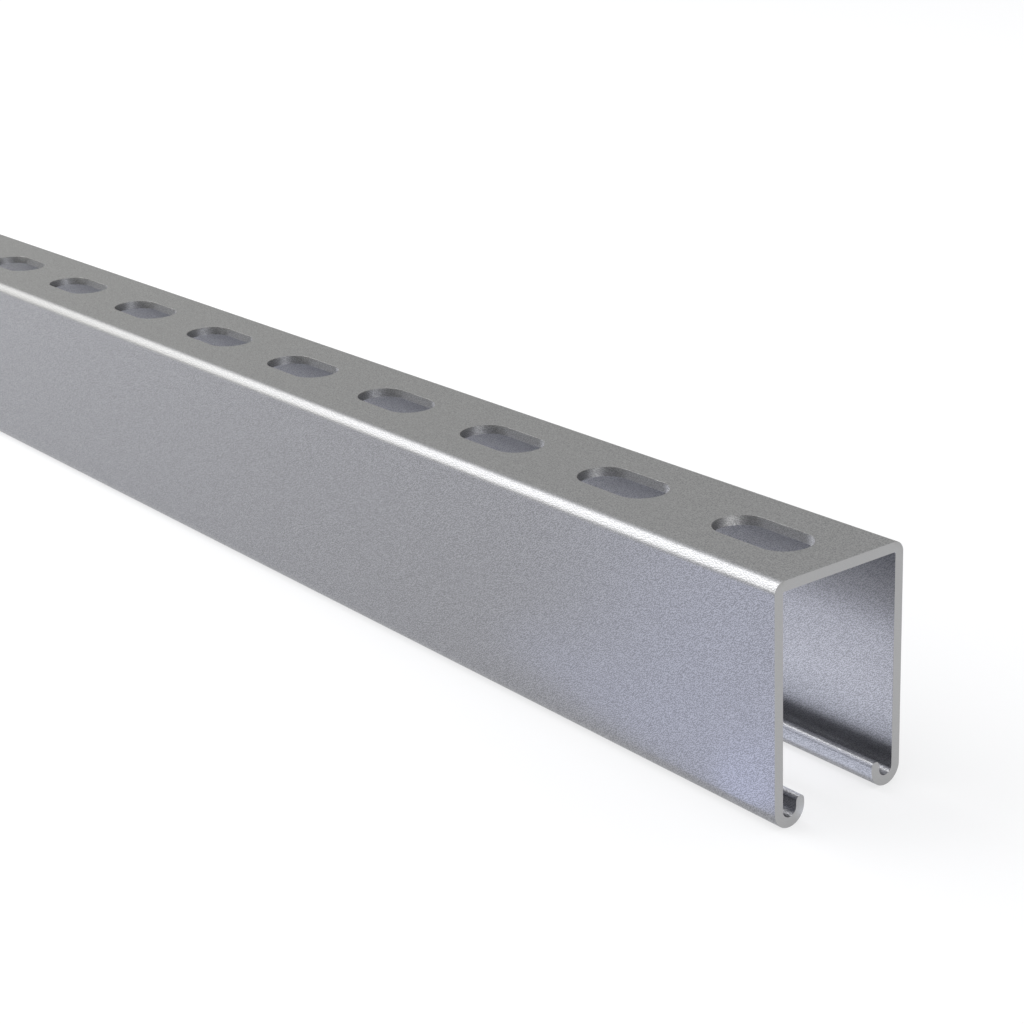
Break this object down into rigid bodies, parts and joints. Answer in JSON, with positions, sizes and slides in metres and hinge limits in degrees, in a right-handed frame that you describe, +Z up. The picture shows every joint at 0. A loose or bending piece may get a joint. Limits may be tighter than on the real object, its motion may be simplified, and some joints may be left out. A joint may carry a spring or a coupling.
{
  "type": "strut channel",
  "caption": "Deep C-shaped steel strut channel with inward curled lips along its open side and a row of round-ended slots along its web.",
  "frame": {"origin": "under the middle of the stock, on the plane that its two lips rest on", "axes": "+X along the stock, +Y across it, +Z up through the slotted web"},
  "size_m": [0.6096, 0.0412, 0.0619],
  "materials": {
    "galvanised_steel": "pre-galvanised, satin"
  },
  "bodies": {
    "root": {"strut_channel": "galvanised_steel"}
  },
  "joints": []
}
